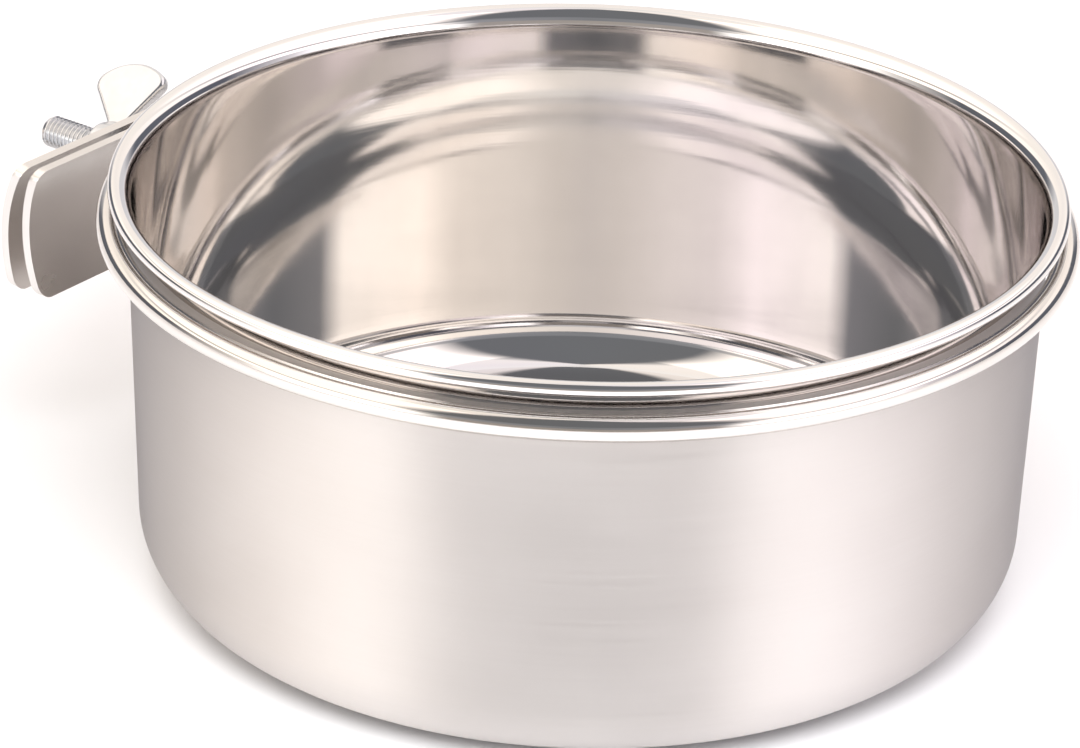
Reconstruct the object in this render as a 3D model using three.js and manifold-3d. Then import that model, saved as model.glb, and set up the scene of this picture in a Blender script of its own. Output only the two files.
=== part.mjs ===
// Steel feeding bowl for a cage. A drawn bowl hangs by its rolled rim in a wire ring, and a screw
// clamp behind the ring grips the cage bars between two bowed plates.
// Millimetres, +Z up. The origin is the middle of the bowl's base, and the clamp points along +Y.

import * as THREE from 'three';
import { mergeVertices } from 'three/addons/utils/BufferGeometryUtils.js';
import Module from 'manifold-3d';

const wasm = await Module();
wasm.setup();

// Bowl, drawn from one sheet. Radii are to the outside of the wall.
const bowlHeight = 60.5;
const bowlSheet = 0.7;
const wallTopRadius = 65.6;
const wallFootRadius = 64.4;
const bottomCorner = 10;

// Rolled rim: the sheet flares out of the wall and is rolled round into a tight bead.
const rimReach = 2.7;
const rimBeadRadius = 1;
const rimFlareHeight = 3.2;
const rimRollDegrees = 225;

// Holder ring of round wire, loose round the wall. It has slipped down from its seat under the rim.
const ringWire = 3.7;
const ringSlack = 0.7;
const ringDrop = 2.1;

// Bracket plate: a bowed plate with a tab that is bent in under the ring.
const plateWidth = 62.6;
const plateHeight = 20.6;
const plateSheet = 1.4;
const plateBow = 2.4;
const plateCorner = 2;
const plateReach = 7;
const tabWidth = 18;
const tabBend = 2.4;
const tabRootFillet = 1.5;
const tabWallClearance = 1.2;

// Clamp bolt with a domed head and a square neck.
const boltDiameter = 5;
const boltLength = 25.4;
const boltHeadDiameter = 10.6;
const boltHeadHeight = 3.1;
const boltHeadEdge = 0.8;
const boltNeckLength = 2.6;
const boltTipChamfer = 0.6;
const neckClearance = 0.3;

// Outer clamp plate, the same pressing with a round hole, hanging a little askew on the bolt.
const jawGap = 2.8;
const jawTiltDegrees = 5.5;
const jawHoleClearance = 0.8;

// Washer.
const washerDiameter = 11;
const washerSheet = 0.8;
const washerClearance = 0.3;

// Wing nut.
const hubFootDiameter = 10.4;
const hubTopDiameter = 8.2;
const hubHeight = 7;
const hubShoulder = 1;
const wingSpan = 29.4;
const wingHeight = 12.8;
const wingSideRadius = 8.6;
const wingSideRise = 5.5;
const wingCrownRadius = 2.4;
const wingCrownDegrees = 150;
const wingFootRadius = 2;
const wingFootGap = 0.8;
const wingThickness = 2.2;
const wingEdgeRound = 0.4;
const wingTurnDegrees = 44;
const nutClearance = 0.3;

// Gap between pieces that rest on each other.
const seatGap = 0.3;

// Facets of the round pieces, and steps along the arcs of their sections.
const bowlFacets = 72;
const smallFacets = 28;
const cornerSteps = 7;
const flareSteps = 4;
const rollSteps = 9;
const wireSteps = 12;
const domeSteps = 6;
const bowSteps = 14;
const edgeSteps = 5;
const wingSteps = 8;

// How far a cutting body runs past what it cuts.
const cutMargin = 1;

// Points closer than this are one point of a seam.
const seamTolerance = 1e-4;

const degrees = Math.PI / 180;
const unitX = new THREE.Vector3(1, 0, 0);
const unitY = new THREE.Vector3(0, 1, 0);
const unitZ = new THREE.Vector3(0, 0, 1);

// A closed solid for cutting and joining, from a geometry whose seams are sewn together.
function solid(geometry) {
  const bare = geometry.clone();
  bare.deleteAttribute('normal');
  bare.deleteAttribute('uv');
  const sewn = mergeVertices(bare, seamTolerance);
  const corners = sewn.index.array;
  const kept = [];
  for (let i = 0; i < corners.length; i += 3) {
    const [a, b, c] = corners.slice(i, i + 3);
    if (a !== b && b !== c && c !== a) kept.push(a, b, c);
  }
  return new wasm.Manifold(new wasm.Mesh({
    numProp: 3,
    vertProperties: new Float32Array(sewn.attributes.position.array),
    triVerts: new Uint32Array(kept),
  }));
}

// The mesh of a finished solid, under its own name.
function piece(name, body, finish) {
  const { vertProperties, triVerts } = body.getMesh();
  const geometry = new THREE.BufferGeometry();
  geometry.setAttribute('position', new THREE.BufferAttribute(vertProperties, 3));
  geometry.setIndex(new THREE.BufferAttribute(triVerts, 1));
  geometry.computeVertexNormals();
  const mesh = new THREE.Mesh(geometry, new THREE.MeshStandardMaterial(finish));
  mesh.name = name;
  return mesh;
}

// Points along an elliptic arc, both ends included, with angles in degrees.
function arc(centreX, centreY, radiusX, radiusY, from, to, steps) {
  const points = [];
  for (let i = 0; i <= steps; i += 1) {
    const angle = (from + ((to - from) * i) / steps) * degrees;
    points.push(new THREE.Vector2(centreX + radiusX * Math.cos(angle), centreY + radiusY * Math.sin(angle)));
  }
  return points;
}

// A profile of (radius, height) turned about the Y axis, the way of the bolt.
function turned(points, facets) {
  return solid(new THREE.LatheGeometry(points, facets));
}

// The same profile turned about the Z axis, the way of the bowl.
function turnedUpright(points, facets) {
  return solid(new THREE.LatheGeometry(points, facets).rotateX(Math.PI / 2));
}

// A section drawn in (Y, Z) and drawn out evenly to both sides along X.
function drawnAcross(shape, width) {
  const settings = { depth: width, bevelEnabled: false, curveSegments: bowSteps };
  const geometry = new THREE.ExtrudeGeometry(shape, settings);
  geometry.translate(0, 0, -width / 2);
  geometry.applyMatrix4(new THREE.Matrix4().makeBasis(unitY, unitZ, unitX));
  return solid(geometry);
}

// An outline drawn in (X, Z) and cut straight along Y from one depth to another.
function cutAlong(shape, from, to) {
  const settings = { depth: to - from, bevelEnabled: false, curveSegments: edgeSteps };
  const geometry = new THREE.ExtrudeGeometry(shape, settings);
  geometry.applyMatrix4(new THREE.Matrix4().makeBasis(unitX, unitZ, unitY.clone().negate()));
  geometry.translate(0, to, 0);
  return solid(geometry);
}

const finishes = {
  satinSteel: { color: 0xc9c4c2, roughness: 0.32, metalness: 1 },
  brightSteel: { color: 0xdcdad8, roughness: 0.12, metalness: 1 },
  platedSteel: { color: 0xd4d4d2, roughness: 0.25, metalness: 1 },
};

// Places that follow from the sizes above.
const beadRadius = wallTopRadius + rimReach - rimBeadRadius;
const beadHeight = bowlHeight - rimBeadRadius;
const flareFoot = bowlHeight - rimFlareHeight;
const ringRadius = wallTopRadius + ringSlack + ringWire / 2;
const beadToRing = rimBeadRadius + ringWire / 2 + seatGap;
const ringSeat = beadHeight - Math.sqrt(beadToRing ** 2 - (ringRadius - beadRadius) ** 2);
const ringHeight = ringSeat - ringDrop;
const tabTop = ringHeight - ringWire / 2 - seatGap;
const bowInside = ((plateHeight / 2) ** 2 + plateBow ** 2) / (2 * plateBow);
const bowOutside = bowInside + plateSheet;
const bowAngle = Math.asin(plateHeight / 2 / bowInside);
const boltHeight = tabTop - plateSheet - tabBend * (1 - Math.sin(bowAngle)) - plateHeight / 2;
const plateInnerFace = ringRadius + ringWire / 2 + plateReach + plateBow;
const plateOuterFace = plateInnerFace + plateSheet;
const bowCentre = plateInnerFace - bowInside;

// Bowl: one sheet from the middle of the base to the end of the rolled rim, and back inside.
function makeBowl() {
  const cornerCentre = wallFootRadius - bottomCorner;
  const inside = bottomCorner - bowlSheet;
  const rollStart = 90;
  const rollEnd = rollStart - rimRollDegrees;
  const rollInside = rimBeadRadius - bowlSheet;
  const flareWidth = beadRadius - wallTopRadius;
  const profile = [
    new THREE.Vector2(0, 0),
    ...arc(cornerCentre, bottomCorner, bottomCorner, bottomCorner, -90, 0, cornerSteps),
    ...arc(beadRadius, flareFoot, flareWidth, rimFlareHeight - bowlSheet, 180, rollStart, flareSteps),
    ...arc(beadRadius, beadHeight, rollInside, rollInside, rollStart, rollEnd, rollSteps),
    ...arc(beadRadius, beadHeight, rimBeadRadius, rimBeadRadius, rollEnd, rollStart, rollSteps),
    ...arc(beadRadius, flareFoot, flareWidth + bowlSheet, rimFlareHeight, rollStart, 180, flareSteps),
    ...arc(cornerCentre, bottomCorner, inside, inside, 0, -90, cornerSteps),
    new THREE.Vector2(0, bowlSheet),
  ];
  return piece('bowl', turnedUpright(profile, bowlFacets), finishes.satinSteel);
}

// Holder ring: round wire bent to a circle.
function makeRing() {
  const section = arc(ringRadius, ringHeight, ringWire / 2, ringWire / 2, -180, 180, wireSteps);
  return piece('holder_ring', turnedUpright(section, bowlFacets), finishes.brightSteel);
}

// Outline of a plate with round corners, centred on the bolt.
function plateOutline() {
  const halfWidth = plateWidth / 2;
  const halfHeight = plateHeight / 2;
  const outline = new THREE.Shape();
  outline.moveTo(-halfWidth + plateCorner, -halfHeight);
  outline.absarc(halfWidth - plateCorner, -halfHeight + plateCorner, plateCorner, -Math.PI / 2, 0);
  outline.absarc(halfWidth - plateCorner, halfHeight - plateCorner, plateCorner, 0, Math.PI / 2);
  return outline;
}

function closePlateOutline(outline) {
  const halfWidth = plateWidth / 2;
  const halfHeight = plateHeight / 2;
  outline.absarc(-halfWidth + plateCorner, halfHeight - plateCorner, plateCorner, Math.PI / 2, Math.PI);
  outline.absarc(-halfWidth + plateCorner, -halfHeight + plateCorner, plateCorner, Math.PI, Math.PI * 1.5);
  return outline;
}

// Bracket plate: the bow, the bend and the tab are one strip, cut to a T-shaped outline.
function makeBracketPlate() {
  const bendY = plateInnerFace - plateBow - tabBend * Math.cos(bowAngle) - bowCentre;
  const bendZ = plateHeight / 2 - tabBend * Math.sin(bowAngle);
  const tabEnd = wallTopRadius + tabWallClearance - bowCentre;
  const strip = new THREE.Shape();
  strip.absarc(0, 0, bowOutside, -bowAngle, bowAngle, false);
  strip.absarc(bendY, bendZ, tabBend + plateSheet, bowAngle, Math.PI / 2, false);
  strip.lineTo(tabEnd, bendZ + tabBend + plateSheet);
  strip.lineTo(tabEnd, bendZ + tabBend);
  strip.absarc(bendY, bendZ, tabBend, Math.PI / 2, bowAngle, true);
  strip.absarc(0, 0, bowInside, bowAngle, -bowAngle, true);

  const halfTab = tabWidth / 2;
  const rootX = halfTab + tabRootFillet;
  const rootZ = plateHeight / 2 + tabRootFillet;
  const aboveTab = bendZ + tabBend + plateSheet + cutMargin;
  const outline = plateOutline();
  outline.absarc(rootX, rootZ, tabRootFillet, -Math.PI / 2, -Math.PI, true);
  outline.lineTo(halfTab, aboveTab);
  outline.lineTo(-halfTab, aboveTab);
  outline.absarc(-rootX, rootZ, tabRootFillet, 0, -Math.PI / 2, true);
  closePlateOutline(outline);

  const holeSide = boltDiameter + 2 * neckClearance;
  const hole = solid(new THREE.BoxGeometry(holeSide, 2 * bowOutside, holeSide).translate(0, bowOutside, 0));
  const body = drawnAcross(strip, plateWidth)
    .intersect(cutAlong(outline, tabEnd - cutMargin, bowOutside + cutMargin))
    .subtract(hole);
  const mesh = piece('bracket_plate', body, finishes.brightSteel);
  mesh.position.set(0, bowCentre, boltHeight);
  return mesh;
}

// The domed head's flat side bears on the hollow of the bowed plate along the head's upper and lower edge.
const boltHeadRadius = boltHeadDiameter / 2;
const boltSeat = bowCentre + Math.sqrt(bowInside ** 2 - boltHeadRadius ** 2) - seatGap;

// Clamp bolt: domed head on the bowl's side, square neck in the bracket plate, shank out through the clamp.
function makeBolt() {
  const shank = boltDiameter / 2;
  const profile = [
    ...arc(0, -boltHeadEdge, boltHeadRadius, boltHeadHeight - boltHeadEdge, -90, 0, domeSteps),
    new THREE.Vector2(boltHeadRadius, 0),
    new THREE.Vector2(shank, 0),
    new THREE.Vector2(shank, boltLength - boltTipChamfer),
    new THREE.Vector2(shank - boltTipChamfer, boltLength),
    new THREE.Vector2(0, boltLength),
  ];
  const neck = new THREE.BoxGeometry(boltDiameter, boltNeckLength + boltHeadEdge, boltDiameter);
  neck.translate(0, (boltNeckLength - boltHeadEdge) / 2, 0);
  const mesh = piece('clamp_bolt', turned(profile, smallFacets).add(solid(neck)), finishes.platedSteel);
  mesh.position.set(0, boltSeat, boltHeight);
  return mesh;
}

// Outer clamp plate, tilted about the bolt hole.
const jawInnerFace = plateOuterFace + jawGap;
const jawTilt = jawTiltDegrees * degrees;

function makeClampPlate() {
  const bow = new THREE.Shape();
  bow.absarc(0, 0, bowOutside, -bowAngle, bowAngle, false);
  bow.absarc(0, 0, bowInside, bowAngle, -bowAngle, true);
  const holeRadius = boltDiameter / 2 + jawHoleClearance;
  const hole = new THREE.CylinderGeometry(holeRadius, holeRadius, 2 * bowOutside, smallFacets);
  hole.translate(0, bowOutside, 0);
  const body = drawnAcross(bow, plateWidth)
    .intersect(cutAlong(closePlateOutline(plateOutline()), 0, bowOutside + cutMargin))
    .subtract(solid(hole));
  const mesh = piece('clamp_plate', body, finishes.brightSteel);
  mesh.geometry.translate(0, -bowInside, 0);
  mesh.rotation.x = jawTilt;
  mesh.position.set(0, jawInnerFace, boltHeight);
  return mesh;
}

// The tilted plate's outermost point along the bolt, where the washer bears.
const jawOuterFace = jawInnerFace - bowInside * Math.cos(jawTilt) + bowOutside;

// Washer.
function makeWasher() {
  const bore = boltDiameter / 2 + washerClearance;
  const rim = washerDiameter / 2;
  const section = [
    new THREE.Vector2(bore, 0),
    new THREE.Vector2(rim, 0),
    new THREE.Vector2(rim, washerSheet),
    new THREE.Vector2(bore, washerSheet),
    new THREE.Vector2(bore, 0),
  ];
  const mesh = piece('washer', turned(section, smallFacets), finishes.platedSteel);
  mesh.position.set(0, jawOuterFace + seatGap, boltHeight);
  return mesh;
}

// Wing nut: a tapered hub with two rounded wings that lean up and out.
function makeWingNut() {
  const foot = hubFootDiameter / 2;
  const top = hubTopDiameter / 2;
  const hub = turned([
    new THREE.Vector2(0, 0),
    new THREE.Vector2(foot, 0),
    new THREE.Vector2(top, hubHeight),
    new THREE.Vector2(0, hubHeight),
  ], smallFacets);

  const side = wingSideRadius - wingEdgeRound;
  const sideX = wingSpan / 2 - wingSideRadius;
  const crown = wingCrownRadius - wingEdgeRound;
  const crownY = wingHeight - wingCrownRadius;
  const crownAngle = Math.asin((crownY - wingSideRise) / (side - crown));
  const crownX = sideX + (side - crown) * Math.cos(crownAngle);
  const heel = wingFootRadius - wingEdgeRound;
  const heelY = wingFootGap + wingFootRadius;
  const heelX = sideX + Math.sqrt((side - heel) ** 2 - (wingSideRise - heelY) ** 2);
  const heelAngle = Math.atan2(heelY - wingSideRise, heelX - sideX);
  const wing = new THREE.Shape();
  wing.moveTo(0, heelY - heel);
  wing.absarc(heelX, heelY, heel, -Math.PI / 2, heelAngle, false);
  wing.absarc(sideX, wingSideRise, side, heelAngle, crownAngle, false);
  wing.absarc(crownX, crownY, crown, crownAngle, wingCrownDegrees * degrees, false);
  wing.lineTo(top - hubShoulder, hubHeight - hubShoulder);
  wing.lineTo(0, hubHeight - hubShoulder);
  wing.closePath();
  const blade = new THREE.ExtrudeGeometry(wing, {
    depth: wingThickness - 2 * wingEdgeRound,
    bevelThickness: wingEdgeRound,
    bevelSize: wingEdgeRound,
    bevelSegments: 1,
    curveSegments: wingSteps,
  });
  blade.translate(0, 0, wingEdgeRound - wingThickness / 2);

  const boreRadius = boltDiameter / 2 + nutClearance;
  const bore = new THREE.CylinderGeometry(boreRadius, boreRadius, 2 * wingHeight, smallFacets);
  const body = hub
    .add(solid(blade))
    .add(solid(blade.clone().rotateY(Math.PI)))
    .subtract(solid(bore));
  const mesh = piece('wing_nut', body, finishes.platedSteel);
  mesh.rotation.y = wingTurnDegrees * degrees - Math.PI / 2;
  mesh.position.set(0, jawOuterFace + washerSheet + 2 * seatGap, boltHeight);
  return mesh;
}

const feedingBowl = new THREE.Group();
feedingBowl.add(
  makeBowl(),
  makeRing(),
  makeBracketPlate(),
  makeBolt(),
  makeClampPlate(),
  makeWasher(),
  makeWingNut(),
);

export default feedingBowl;
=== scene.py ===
import math

import bmesh
import bpy
from mathutils import Matrix, Vector


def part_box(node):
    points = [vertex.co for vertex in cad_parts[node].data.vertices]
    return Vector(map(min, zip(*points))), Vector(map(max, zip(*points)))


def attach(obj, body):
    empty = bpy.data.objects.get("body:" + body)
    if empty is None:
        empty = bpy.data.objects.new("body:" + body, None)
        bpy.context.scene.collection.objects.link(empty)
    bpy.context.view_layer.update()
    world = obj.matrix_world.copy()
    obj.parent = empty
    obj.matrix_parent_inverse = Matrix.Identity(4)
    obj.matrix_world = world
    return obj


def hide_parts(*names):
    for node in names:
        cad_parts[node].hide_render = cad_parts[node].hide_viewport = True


# Steel feeding bowl in its wire ring, with the screw clamp that holds it on a cage.
# Blender works in metres: sizes are written in millimetres and multiplied by mm.
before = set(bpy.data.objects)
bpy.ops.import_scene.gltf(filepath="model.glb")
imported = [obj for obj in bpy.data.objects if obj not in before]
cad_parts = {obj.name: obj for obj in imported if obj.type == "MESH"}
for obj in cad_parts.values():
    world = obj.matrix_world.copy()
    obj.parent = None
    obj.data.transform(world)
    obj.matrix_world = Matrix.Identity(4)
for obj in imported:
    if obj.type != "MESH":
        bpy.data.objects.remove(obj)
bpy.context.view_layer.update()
mm = 0.001
upAxis = Vector((0, 0, 1))
boltAxis = Vector((0, 1, 0))
print("frame loaded,", len(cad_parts), "nodes")


# small helpers

weld = {"profile": 0.001, "cadNode": 0.005, "thread": 0.002}  # points closer than this, in mm, become one
flatDegrees = 1  # faces that turn less than this are one face
noiseSpan = (0.3, 0.7)  # a noise texture mostly stays between these


def linear(hexText):  # sRGB hex to linear colour
    channels = [int(hexText[i:i + 2], 16) / 255 for i in (1, 3, 5)]
    return [c / 12.92 if c <= 0.04045 else ((c + 0.055) / 1.055) ** 2.4 for c in channels] + [1.0]


def addNode(tree, kind, inputs=None, **settings):  # inputs are values, or sockets to link
    node = tree.nodes.new(kind)
    for name, value in settings.items():
        setattr(node, name, value)
    for name, value in (inputs or {}).items():
        if isinstance(value, bpy.types.NodeSocket):
            tree.links.new(value, node.inputs[name])
        else:
            node.inputs[name].default_value = value
    return node


def setStops(node, stops):  # colour stops of a ramp, as (position, hex)
    ramp = node.color_ramp
    while len(ramp.elements) < len(stops):
        ramp.elements.new(0.5)
    for element, (position, hexText) in zip(ramp.elements, stops):
        element.position = position
        element.color = linear(hexText)


def newMaterial(name):
    material = bpy.data.materials.new(name)
    material.use_nodes = True
    material.node_tree.nodes.clear()
    return material


def drawLine(bm, vert, end, rows=1):  # straight stretch of a profile
    start, end = vert.co.copy(), Vector(end)
    for row in range(rows):
        vert = bmesh.ops.extrude_vert_indiv(bm, verts=[vert])["verts"][0]
        vert.co = start.lerp(end, (row + 1) / rows)
    return vert


def drawArc(bm, vert, centre, axis, degrees, steps):  # round stretch of a profile
    made = bmesh.ops.spin(
        bm, geom=[vert], cent=centre, axis=axis, angle=math.radians(degrees), steps=steps, use_duplicate=False
    )
    return next(g for g in made["geom_last"] if isinstance(g, bmesh.types.BMVert))


def turnFull(bm, centre, axis, steps):  # the whole profile once round
    bmesh.ops.spin(
        bm, geom=bm.verts[:] + bm.edges[:], cent=centre, axis=axis,
        angle=2 * math.pi, steps=steps, use_merge=True, use_duplicate=False,
    )
    bmesh.ops.remove_doubles(bm, verts=bm.verts[:], dist=weld["profile"] * mm)
    bmesh.ops.recalc_face_normals(bm, faces=bm.faces[:])


def copyNode(name):  # a CAD node's shape with its loose triangles joined into whole faces
    bm = bmesh.new()
    bm.from_mesh(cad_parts[name].data)
    bmesh.ops.remove_doubles(bm, verts=bm.verts[:], dist=weld["cadNode"] * mm)
    bmesh.ops.dissolve_limit(
        bm, angle_limit=math.radians(flatDegrees), verts=bm.verts[:], edges=bm.edges[:]
    )
    return bm


def roundEdges(bm, radius, segments, degrees):  # edges sharper than that many degrees
    sharp = [e for e in bm.edges if e.is_manifold and e.calc_face_angle() > math.radians(degrees)]
    bmesh.ops.bevel(
        bm, geom=sharp, offset=radius, offset_type="OFFSET", affect="EDGES",
        segments=segments, profile=0.5, material=-1, clamp_overlap=True,
    )


def finishPiece(name, bm, materials, body, node, sharpDegrees=40):
    mesh = bpy.data.meshes.new(name)
    bm.to_mesh(mesh)
    bm.free()
    for material in materials:
        mesh.materials.append(material)
    mesh.shade_smooth()
    mesh.set_sharp_from_angle(angle=math.radians(sharpDegrees))
    piece = bpy.data.objects.new(name, mesh)
    bpy.context.scene.collection.objects.link(piece)
    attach(piece, body)
    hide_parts(node)
    return piece


def evenShading(piece):  # broad faces keep their own normals beside rounded edges
    modifier = piece.modifiers.new("evenShading", "WEIGHTED_NORMAL")
    modifier.keep_sharp = True
    modifier.weight = 100


# materials

def makeSatinSteel():
    # Stainless steel sheet, deep drawn and buffed round on a lathe:
    # the fine rings smear each reflection upright.
    look = {
        "light": "#e2dedb", "dark": "#d6d1ce", "rough": (0.42, 0.5), "patch": 35,
        "smear": 0.94, "smearTurn": 0.25,  # a quarter turn from the rings to upright
        "grazing": "#9fa2aa",  # buffed steel is duller seen along the sheet
        "lineSpacing": 0.45,  # real lines are 0.05 mm apart, too fine to show
        "lineRun": 30, "lineDepth": 0.004, "lineBump": 0.5,
    }
    material = newMaterial("stainlessSteelSatinBuffed")
    tree = material.node_tree
    place = addNode(tree, "ShaderNodeTexCoord")
    parts = addNode(tree, "ShaderNodeSeparateXYZ", {"Vector": place.outputs["Object"]})
    flat = addNode(tree, "ShaderNodeVectorMath", {
        0: place.outputs["Object"], 1: (1, 1, 0)}, operation="MULTIPLY")
    radius = addNode(tree, "ShaderNodeVectorMath", {0: flat.outputs["Vector"]}, operation="LENGTH")
    along = addNode(tree, "ShaderNodeMath", {
        0: radius.outputs["Value"], 1: parts.outputs["Z"]}, operation="ADD")
    spaced = addNode(tree, "ShaderNodeMath", {
        0: along.outputs["Value"], 1: 1 / (look["lineSpacing"] * mm)}, operation="MULTIPLY")
    drift = addNode(tree, "ShaderNodeVectorMath", {
        0: flat.outputs["Vector"], "Scale": 1 / (look["lineRun"] * mm)}, operation="SCALE")
    driftParts = addNode(tree, "ShaderNodeSeparateXYZ", {"Vector": drift.outputs["Vector"]})
    spot = addNode(tree, "ShaderNodeCombineXYZ", {
        "X": spaced.outputs["Value"], "Y": driftParts.outputs["X"], "Z": driftParts.outputs["Y"]})
    lines = addNode(tree, "ShaderNodeTexNoise", {
        "Vector": spot.outputs["Vector"], "Scale": 1.0, "Detail": 3.0, "Roughness": 0.6})
    patches = addNode(tree, "ShaderNodeTexNoise", {
        "Vector": place.outputs["Object"], "Scale": 1 / (look["patch"] * mm), "Detail": 2.0})
    mixed = addNode(tree, "ShaderNodeMath", {
        0: lines.outputs["Fac"], 1: patches.outputs["Fac"]}, operation="ADD")
    rough = addNode(tree, "ShaderNodeMapRange", {
        "Value": mixed.outputs["Value"], "From Min": 2 * noiseSpan[0], "From Max": 2 * noiseSpan[1],
        "To Min": look["rough"][0], "To Max": look["rough"][1]})
    colour = addNode(tree, "ShaderNodeMix", {
        "Factor": patches.outputs["Fac"], "A": linear(look["light"]), "B": linear(look["dark"])},
        data_type="RGBA")
    bump = addNode(tree, "ShaderNodeBump", {
        "Height": lines.outputs["Fac"], "Strength": look["lineBump"], "Distance": look["lineDepth"] * mm})
    ringWay = addNode(tree, "ShaderNodeTangent", direction_type="RADIAL", axis="Z")
    surface = addNode(tree, "ShaderNodeBsdfPrincipled", {
        "Base Color": colour.outputs["Result"], "Metallic": 1.0, "Roughness": rough.outputs["Result"],
        "Specular Tint": linear(look["grazing"]),
        "Anisotropic": look["smear"], "Anisotropic Rotation": look["smearTurn"],
        "Tangent": ringWay.outputs["Tangent"], "Normal": bump.outputs["Normal"]})
    addNode(tree, "ShaderNodeOutputMaterial", {"Surface": surface.outputs["BSDF"]})
    return material


def addHaze(tree, place, look):  # soft patches, a little duller and darker than the rest
    haze = addNode(tree, "ShaderNodeTexNoise", {
        "Vector": place.outputs["Object"], "Scale": 1 / (look["haze"] * mm), "Detail": 4.0})
    rough = addNode(tree, "ShaderNodeMapRange", {
        "Value": haze.outputs["Fac"], "From Min": noiseSpan[0], "From Max": noiseSpan[1],
        "To Min": look["rough"][0], "To Max": look["rough"][1]})
    colour = addNode(tree, "ShaderNodeMix", {
        "Factor": haze.outputs["Fac"], "A": linear(look["light"]), "B": linear(look["dark"])},
        data_type="RGBA")
    return rough.outputs["Result"], colour.outputs["Result"]


def makeMirrorSteel():
    # The same sheet polished inside and over the rim: a near mirror, a little uneven from the drawing.
    look = {
        "light": "#eae8e7", "dark": "#e3e1e0", "rough": (0.03, 0.07), "haze": 14,
        "wave": 28, "waveDepth": 0.03,
        "streak": 11, "streakRun": 90, "streakDepth": 0.012,  # upright waves left by the punch
        "lineSpacing": 0.4, "lineRun": 25, "lineDepth": 0.002, "lineBump": 0.4,  # what the polishing left
    }
    material = newMaterial("stainlessSteelPolished")
    tree = material.node_tree
    place = addNode(tree, "ShaderNodeTexCoord")
    rough, colour = addHaze(tree, place, look)
    waves = addNode(tree, "ShaderNodeTexNoise", {
        "Vector": place.outputs["Object"], "Scale": 1 / (look["wave"] * mm), "Detail": 1.0})
    upright = addNode(tree, "ShaderNodeMapping", {
        "Vector": place.outputs["Object"],
        "Scale": [1 / (size * mm) for size in (look["streak"], look["streak"], look["streakRun"])]})
    streaks = addNode(tree, "ShaderNodeTexNoise", {
        "Vector": upright.outputs["Vector"], "Scale": 1.0, "Detail": 2.0})
    level = addNode(tree, "ShaderNodeMapping", {
        "Vector": place.outputs["Object"],
        "Scale": [1 / (size * mm) for size in (look["lineRun"], look["lineRun"], look["lineSpacing"])]})
    lines = addNode(tree, "ShaderNodeTexNoise", {
        "Vector": level.outputs["Vector"], "Scale": 1.0, "Detail": 2.0})
    uneven = addNode(tree, "ShaderNodeBump", {
        "Height": waves.outputs["Fac"], "Strength": 1.0, "Distance": look["waveDepth"] * mm})
    drawn = addNode(tree, "ShaderNodeBump", {
        "Height": streaks.outputs["Fac"], "Strength": 1.0, "Distance": look["streakDepth"] * mm,
        "Normal": uneven.outputs["Normal"]})
    bump = addNode(tree, "ShaderNodeBump", {
        "Height": lines.outputs["Fac"], "Strength": look["lineBump"], "Distance": look["lineDepth"] * mm,
        "Normal": drawn.outputs["Normal"]})
    surface = addNode(tree, "ShaderNodeBsdfPrincipled", {
        "Base Color": colour, "Metallic": 1.0, "Roughness": rough, "Normal": bump.outputs["Normal"]})
    addNode(tree, "ShaderNodeOutputMaterial", {"Surface": surface.outputs["BSDF"]})
    return material


def makeBrightSteel(name, look):
    # Bright steel wire and strip: smooth, with a faint drawn grain and slight hazing where it is handled.
    material = newMaterial(name)
    tree = material.node_tree
    place = addNode(tree, "ShaderNodeTexCoord")
    rough, colour = addHaze(tree, place, look)
    stretch = addNode(tree, "ShaderNodeMapping", {
        "Vector": place.outputs["Object"], "Scale": [1 / (size * mm) for size in look["grain"]]})
    grain = addNode(tree, "ShaderNodeTexNoise", {
        "Vector": stretch.outputs["Vector"], "Scale": 1.0, "Detail": 3.0})
    bump = addNode(tree, "ShaderNodeBump", {
        "Height": grain.outputs["Fac"], "Strength": 0.5, "Distance": look["grainDepth"] * mm})
    surface = addNode(tree, "ShaderNodeBsdfPrincipled", {
        "Base Color": colour, "Metallic": 1.0, "Roughness": rough, "Normal": bump.outputs["Normal"]})
    addNode(tree, "ShaderNodeOutputMaterial", {"Surface": surface.outputs["BSDF"]})
    return material


satinSteel = makeSatinSteel()
mirrorSteel = makeMirrorSteel()
brightWire = makeBrightSteel("steelWireBrightDrawn", {
    "light": "#e4e0dc", "dark": "#d9d5d1", "rough": (0.05, 0.11), "haze": 9,
    "grain": (12, 12, 12), "grainDepth": 0.006})
brightStrip = makeBrightSteel("stainlessStripBrightRolled", {  # its grain runs along the strip, in X
    "light": "#e6e3e1", "dark": "#d6d2cf", "rough": (0.2, 0.28), "haze": 7,
    "grain": (9, 0.5, 0.5), "grainDepth": 0.003})
zincPlate = makeBrightSteel("steelBrightZincPlated", {
    "light": "#dddee0", "dark": "#cacccf", "rough": (0.14, 0.26), "haze": 3,
    "grain": (1.2, 1.2, 1.2), "grainDepth": 0.01})
print("materials made")


# bowl: one sheet, drawn here along its outside and rolled over at the rim

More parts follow.
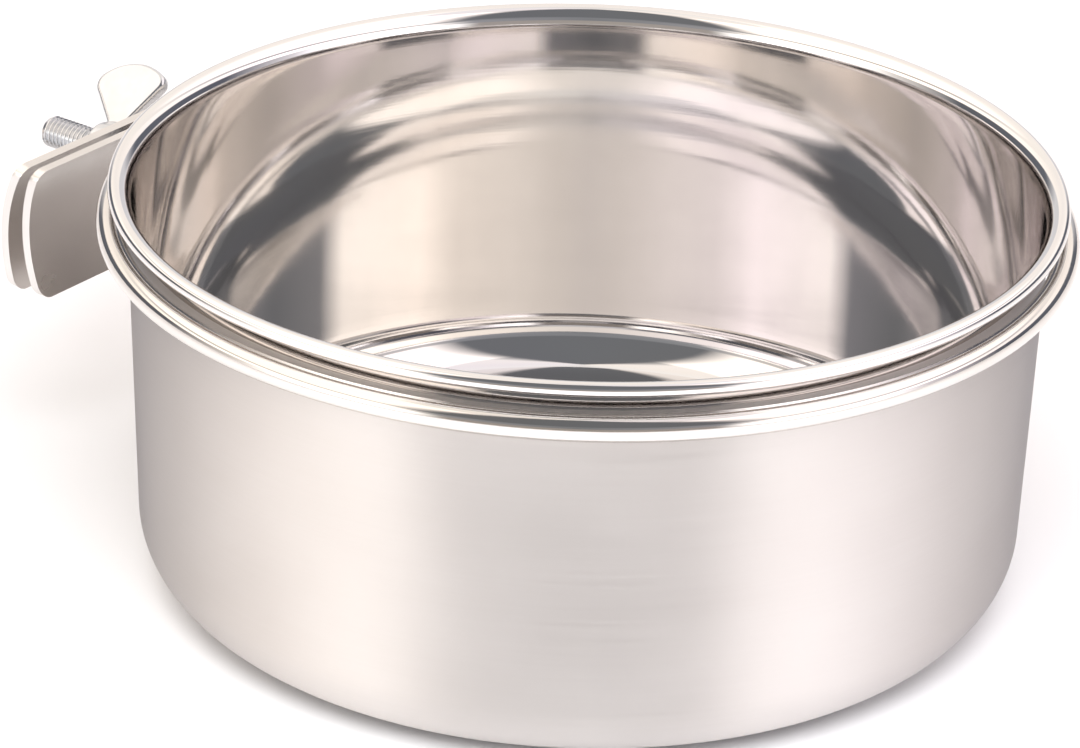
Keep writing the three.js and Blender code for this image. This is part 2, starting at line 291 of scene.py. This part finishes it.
def makeBowl():
    shape = {
        "sheet": 0.7, "wallTop": 65.6, "wallFoot": 64.4, "bottomCorner": 10, "bead": 1, "flare": 3.2,
        "roll": 225, "turnSteps": 240, "baseRows": 14, "cornerSteps": 20, "wallRows": 30,
        "flareSteps": 12, "rollSteps": 32,
    }
    low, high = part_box("bowl")
    sheet, corner, bead = shape["sheet"] * mm, shape["bottomCorner"] * mm, shape["bead"] * mm
    wallTop = shape["wallTop"] * mm
    cornerX = shape["wallFoot"] * mm - corner
    beadX, beadZ = high.x - bead, high.z - bead
    flareZ = high.z - shape["flare"] * mm
    across = (0, 1, 0)

    bm = bmesh.new()
    tip = bm.verts.new((0, 0, low.z))
    tip = drawLine(bm, tip, (cornerX, 0, low.z), shape["baseRows"])
    tip = drawArc(bm, tip, (cornerX, 0, corner), across, -90, shape["cornerSteps"])
    tip = drawLine(bm, tip, (wallTop, 0, flareZ), shape["wallRows"])
    below = set(bm.verts)
    tip = drawArc(bm, tip, (beadX, 0, flareZ), across, 90, shape["flareSteps"])
    flareStretch = (high.z - sheet - flareZ) / (beadX - wallTop)  # how much taller the flare is than wide
    bmesh.ops.scale(bm, vec=(1, 1, flareStretch), space=Matrix.Translation((0, 0, -flareZ)),
                    verts=[v for v in bm.verts if v not in below])
    drawArc(bm, tip, (beadX, 0, beadZ), across, shape["roll"], shape["rollSteps"])
    turnFull(bm, (0, 0, 0), upAxis, shape["turnSteps"])
    bm.normal_update()
    lowest = min(bm.faces, key=lambda f: f.calc_center_median().z)
    if lowest.normal.z > 0:  # an open sheet has no inside of its own: its base faces down
        bmesh.ops.reverse_faces(bm, faces=bm.faces[:])
    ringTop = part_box("holder_ring")[1].z
    for face in bm.faces:  # buffed satin up to the ring, polished from there over the rim
        face.material_index = int(face.calc_center_median().z > ringTop)
    piece = finishPiece("bowlSheet", bm, [satinSteel, mirrorSteel], "bowl", "bowl")
    wall = piece.modifiers.new("sheetThickness", "SOLIDIFY")
    wall.thickness, wall.offset = sheet, -1
    wall.use_even_offset = wall.use_quality_normals = True
    wall.material_offset = wall.material_offset_rim = 1  # polished inside and on the sheet's cut edge


makeBowl()
print("bowl made")


# holder ring: one turn of round wire

def makeRing():
    shape = {"turnSteps": 240, "wireSteps": 28}
    low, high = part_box("holder_ring")
    wire = (high.z - low.z) / 2
    centre = Vector((high.x - wire, 0, (low.z + high.z) / 2))
    bm = bmesh.new()
    section = bmesh.ops.create_circle(bm, segments=shape["wireSteps"], radius=wire)
    bmesh.ops.rotate(bm, verts=section["verts"], cent=(0, 0, 0), matrix=Matrix.Rotation(math.pi / 2, 3, "X"))
    bmesh.ops.translate(bm, verts=section["verts"], vec=centre)
    turnFull(bm, (0, 0, 0), upAxis, shape["turnSteps"])
    finishPiece("ringWire", bm, [brightWire], "holder", "holder_ring")


makeRing()
print("ring made")


# bracket plate, outer clamp plate and washer: the pressed shapes with their edges rolled over by the punch

def makePressings():
    edges = {"plate": 0.5, "washer": 0.16, "segments": 3, "sharperThan": 45}
    pressings = [
        ("bracketPlateSheet", "bracket_plate", "holder", brightStrip, "plate_steel", edges["plate"]),
        ("clampPlateSheet", "clamp_plate", "jaw", brightStrip, "plate_steel", edges["plate"]),
        ("flatWasher", "washer", "jaw", zincPlate, "plated_steel", edges["washer"]),
    ]
    for name, node, body, material, slot, radius in pressings:
        bm = copyNode(node)
        roundEdges(bm, radius * mm, edges["segments"], edges["sharperThan"])
        piece = finishPiece(name, bm, [material], body, node)
        evenShading(piece)


makePressings()
print("plates and washer made")


# clamp bolt: domed head, square neck and a rolled thread

def makeBolt():
    shape = {
        "diameter": 5, "headDiameter": 10.6, "headHeight": 3.1, "headEdge": 0.8, "headRound": 0.18,
        "neck": 2.6, "tipChamfer": 0.6,
        "pitch": 0.8, "threadDepth": 0.44,
        "flanks": (0.12, 0.44, 0.56, 0.88),  # shares of the pitch: up from, up to, down from, down to
        "runIn": 0.5, "spareTurns": 2,  # pitches that the thread starts inside the neck, and turns cut off
        "turnSteps": 36, "headSteps": 64, "domeSteps": 14, "roundSteps": 3,
        "roundSharperThan": 50, "shadeSharperThan": 32,
    }
    low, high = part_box("clamp_bolt")
    height = (low.z + high.z) / 2
    head, dome = shape["headDiameter"] / 2 * mm, (shape["headHeight"] - shape["headEdge"]) * mm
    crest = shape["diameter"] / 2 * mm
    root = crest - shape["threadDepth"] * mm
    seat = low.y + shape["headHeight"] * mm
    edge = low.y + dome
    neckEnd = seat + shape["neck"] * mm
    pitch = shape["pitch"] * mm
    centre = Vector((0, 0, height))

    bm = bmesh.new()  # head: a quarter circle flattened to the dome, then the edge and the seat
    tip = bm.verts.new((0, edge - head, height))
    drawArc(bm, tip, (0, edge, height), upAxis, 90, shape["domeSteps"])
    bmesh.ops.scale(bm, vec=(1, dome / head, 1), space=Matrix.Translation((0, -edge, 0)), verts=bm.verts[:])
    rim = max(bm.verts, key=lambda v: v.co.x)
    tip = drawLine(bm, rim, (head, seat, height))
    drawLine(bm, tip, (0, seat, height))
    turnFull(bm, centre, boltAxis, shape["headSteps"])
    roundEdges(bm, shape["headRound"] * mm, shape["roundSteps"], shape["roundSharperThan"])
    neck = bmesh.ops.create_cube(bm, size=1)
    bmesh.ops.scale(bm, vec=(2 * crest, neckEnd - edge, 2 * crest), verts=neck["verts"])
    bmesh.ops.translate(bm, vec=(0, (neckEnd + edge) / 2, height), verts=neck["verts"])
    headMesh = bpy.data.meshes.new("boltHeadDraft")
    bm.to_mesh(headMesh)
    bm.free()

    bm = bmesh.new()  # thread: one pitch of the profile, screwed along the bolt and cut off square
    start = neckEnd - shape["spareTurns"] * pitch
    turns = math.ceil((high.y - start) / pitch) + shape["spareTurns"]
    upFrom, upTo, downFrom, downTo = shape["flanks"]
    tip = bm.verts.new((root, start, height))
    for share, radius in ((upFrom, root), (upTo, crest), (downFrom, crest), (downTo, root), (1, root)):
        tip = drawLine(bm, tip, (radius, start + share * pitch, height))
    bmesh.ops.spin(
        bm, geom=bm.verts[:] + bm.edges[:], cent=centre, axis=boltAxis,
        dvec=boltAxis * pitch / shape["turnSteps"], angle=2 * math.pi * turns,
        steps=shape["turnSteps"] * turns, use_duplicate=False,
    )
    bmesh.ops.remove_doubles(bm, verts=bm.verts[:], dist=weld["thread"] * mm)
    for cut, way in ((neckEnd - shape["runIn"] * pitch, -boltAxis), (high.y, boltAxis)):
        made = bmesh.ops.bisect_plane(
            bm, geom=bm.verts[:] + bm.edges[:] + bm.faces[:],
            plane_co=(0, cut, 0), plane_no=way, clear_outer=True,
        )
        rimEdges = [g for g in made["geom_cut"] if isinstance(g, bmesh.types.BMEdge)]
        bmesh.ops.holes_fill(bm, edges=rimEdges, sides=0)
    chamfer = shape["tipChamfer"] * mm
    for v in bm.verts:  # the tip narrows by as much as it is long
        reach = math.hypot(v.co.x, v.co.z - height)
        most = crest - max(0, v.co.y - (high.y - chamfer))
        if reach > most:
            v.co.x, v.co.z = v.co.x * most / reach, height + (v.co.z - height) * most / reach
    bmesh.ops.recalc_face_normals(bm, faces=bm.faces[:])
    bm.from_mesh(headMesh)
    bpy.data.meshes.remove(headMesh)
    piece = finishPiece("clampBoltThreaded", bm, [zincPlate], "holder", "clamp_bolt",
                        shape["shadeSharperThan"])
    evenShading(piece)


makeBolt()
print("bolt made")


# wing nut: the cast shape, with its inner corners filled and its edges worn round by tumbling

def makeWingNut():
    shape = {"voxel": 0.22, "smoothing": 14, "softness": 0.5, "shadeSharperThan": 60}
    bm = copyNode("wing_nut")
    bmesh.ops.triangulate(bm, faces=bm.faces[:])
    draft = bpy.data.objects.new("wingNutDraft", bpy.data.meshes.new("wingNutDraft"))
    bm.to_mesh(draft.data)
    bm.free()
    bpy.context.scene.collection.objects.link(draft)
    fine = draft.modifiers.new("fine", "REMESH")
    fine.mode, fine.voxel_size = "VOXEL", shape["voxel"] * mm
    soft = draft.modifiers.new("soft", "SMOOTH")
    soft.factor, soft.iterations = shape["softness"], shape["smoothing"]
    cast = bpy.data.meshes.new_from_object(draft.evaluated_get(bpy.context.evaluated_depsgraph_get()))
    bpy.data.objects.remove(draft)
    bm = bmesh.new()
    bm.from_mesh(cast)
    bpy.data.meshes.remove(cast)
    finishPiece("wingNutCast", bm, [zincPlate], "nut", "wing_nut", shape["shadeSharperThan"])


makeWingNut()
print("wing nut made")


# camera at the photograph's angle

def makeCamera():
    shot = {
        "turn": 54.5, "elevation": 23.45, "distance": 641, "aimHeight": 58.5,
        "pan": 0.542, "tilt": -2.38, "roll": 1.95,  # degrees from the aim to the photograph's framing
        "lens": 150, "sensor": 36, "clip": (0.01, 50),
    }
    turn, rise = math.radians(shot["turn"]), math.radians(shot["elevation"])
    forward = Vector((math.sin(turn) * math.cos(rise), math.cos(turn) * math.cos(rise), -math.sin(rise)))
    camera = bpy.data.objects.new("camera", bpy.data.cameras.new("camera"))
    camera.data.lens, camera.data.sensor_width = shot["lens"], shot["sensor"]
    camera.data.clip_start, camera.data.clip_end = shot["clip"]
    stand = Matrix.Translation(Vector((0, 0, shot["aimHeight"] * mm)) - forward * shot["distance"] * mm)
    aim = forward.to_track_quat("-Z", "Y").to_matrix().to_4x4()
    for angle, axis in ((shot["pan"], "Y"), (shot["tilt"], "X"), (shot["roll"], "Z")):
        aim = aim @ Matrix.Rotation(math.radians(angle), 4, axis)
    camera.matrix_world = stand @ aim
    bpy.context.scene.collection.objects.link(camera)
    bpy.context.scene.camera = camera
    bpy.context.scene.view_settings.view_transform = "Standard"
    return turn


cameraTurn = makeCamera()
print("camera made")


# studio: soft light all round with a dim gap at the camera, a lamp over the table, and a pale floor

def makeTent():
    tent = {
        "strength": 3.9,  # white panels are about four times the white of the picture
        "seam": 1.2,  # degrees over which one row runs into the next
        # Each row has the degrees above the floor where it starts, then its shades by degrees round from
        # the camera, alike on both sides.
        "rows": (
            (0, (
                (0, "#5e5a56"), (30, "#5e5a57"), (44, "#ecebea"), (60, "#dcdbda"), (82, "#868483"),
                (105, "#35373c"), (150, "#37393e"), (160, "#7c7b7c"), (180, "#7c7b7c"))),
            (16, (
                (0, "#48494b"), (32, "#58585a"), (46, "#bcb7b2"), (90, "#c2bcb7"), (112, "#a8a39e"),
                (140, "#a29d98"), (165, "#97928d"), (180, "#928d89"))),
            (26, (
                (0, "#4a4b4d"), (36, "#505153"), (46, "#787573"), (100, "#646260"), (125, "#7e7b79"),
                (145, "#94908b"), (180, "#94908b"))),
            (31, (
                (0, "#3e3f41"), (36, "#3e3f41"), (48, "#b4aea9"), (130, "#b4aea9"), (160, "#99948f"),
                (180, "#938e8a"))),
            (70, (
                (0, "#3e3f41"), (36, "#3e3f41"), (52, "#979390"), (130, "#949290"), (180, "#8a8785"))),
        ),
        "tints": (  # by turns round from the camera: one side is slightly lavender, the other slightly cream
            (0.0, "#ffffff"), (0.25, "#f6f3fb"), (0.5, "#ffffff"), (0.75, "#fffbf6"), (1.0, "#ffffff")),
        "bounces": 16,  # light goes round and round inside a polished bowl
    }
    world = bpy.data.worlds.new("lightTent")
    bpy.context.scene.world = world
    world.use_nodes = True
    tree = world.node_tree
    tree.nodes.clear()
    way = addNode(tree, "ShaderNodeTexCoord")
    facing = addNode(tree, "ShaderNodeMapping", {  # the camera's side becomes -X, where the gradient meets
        "Vector": way.outputs["Generated"], "Rotation": (0, 0, cameraTurn - math.pi / 2)})
    radial = addNode(tree, "ShaderNodeTexGradient", {
        "Vector": facing.outputs["Vector"]}, gradient_type="RADIAL")
    level = addNode(tree, "ShaderNodeSeparateXYZ", {"Vector": way.outputs["Generated"]})
    shades = None
    for start, stops in tent["rows"]:
        panels = addNode(tree, "ShaderNodeValToRGB", {"Fac": radial.outputs["Fac"]})
        half = [(degrees / 360, shade) for degrees, shade in stops]
        setStops(panels, half + [(1 - share, shade) for share, shade in reversed(half[:-1])])
        if shades is None:
            shades = panels.outputs["Color"]
            continue
        ends = [math.sin(math.radians(start + side * tent["seam"])) for side in (-1, 1)]
        above = addNode(tree, "ShaderNodeMapRange", {
            "Value": level.outputs["Z"], "From Min": ends[0], "From Max": ends[1]},
            interpolation_type="SMOOTHSTEP")
        joined = addNode(tree, "ShaderNodeMix", {
            "Factor": above.outputs["Result"], "A": shades, "B": panels.outputs["Color"]}, data_type="RGBA")
        shades = joined.outputs["Result"]
    tints = addNode(tree, "ShaderNodeValToRGB", {"Fac": radial.outputs["Fac"]})
    setStops(tints, tent["tints"])
    tinted = addNode(tree, "ShaderNodeMix", {
        "Factor": 1.0, "A": shades, "B": tints.outputs["Color"]}, data_type="RGBA", blend_type="MULTIPLY")
    light = addNode(tree, "ShaderNodeBackground", {
        "Color": tinted.outputs["Result"], "Strength": tent["strength"]})
    addNode(tree, "ShaderNodeOutputWorld", {"Surface": light.outputs["Background"]})
    cycles = bpy.context.scene.cycles
    cycles.max_bounces = cycles.glossy_bounces = tent["bounces"]


def makeTableLamp():
    lampLook = {"size": (300, 300), "ahead": 260, "height": 350, "power": 1.7}
    lamp = bpy.data.objects.new("tableLamp", bpy.data.lights.new("tableLamp", "AREA"))
    lamp.data.shape, lamp.data.energy = "RECTANGLE", lampLook["power"]
    lamp.data.size, lamp.data.size_y = [size * mm for size in lampLook["size"]]
    ahead = Vector((-math.sin(cameraTurn), -math.cos(cameraTurn), 0))
    lamp.location = (ahead * lampLook["ahead"] + upAxis * lampLook["height"]) * mm
    lamp.rotation_euler = (0, 0, -cameraTurn)
    lamp.visible_camera = lamp.visible_glossy = False  # the steel shows only the table that it lights
    bpy.context.scene.collection.objects.link(lamp)


def makeFloor():
    floorLook = {"paint": "#f2f4f7", "rough": 0.6, "size": 6}
    floorPaint = newMaterial("paleStudioFloor")
    tree = floorPaint.node_tree
    surface = addNode(tree, "ShaderNodeBsdfPrincipled", {
        "Base Color": linear(floorLook["paint"]), "Roughness": floorLook["rough"]})
    addNode(tree, "ShaderNodeOutputMaterial", {"Surface": surface.outputs["BSDF"]})
    bm = bmesh.new()
    bmesh.ops.create_grid(bm, x_segments=1, y_segments=1, size=floorLook["size"])
    mesh = bpy.data.meshes.new("studioFloor")
    bm.to_mesh(mesh)
    bm.free()
    mesh.materials.append(floorPaint)
    floor = bpy.data.objects.new("studioFloor", mesh)
    bpy.context.scene.collection.objects.link(floor)


makeTent()
makeTableLamp()
makeFloor()
print("studio made")
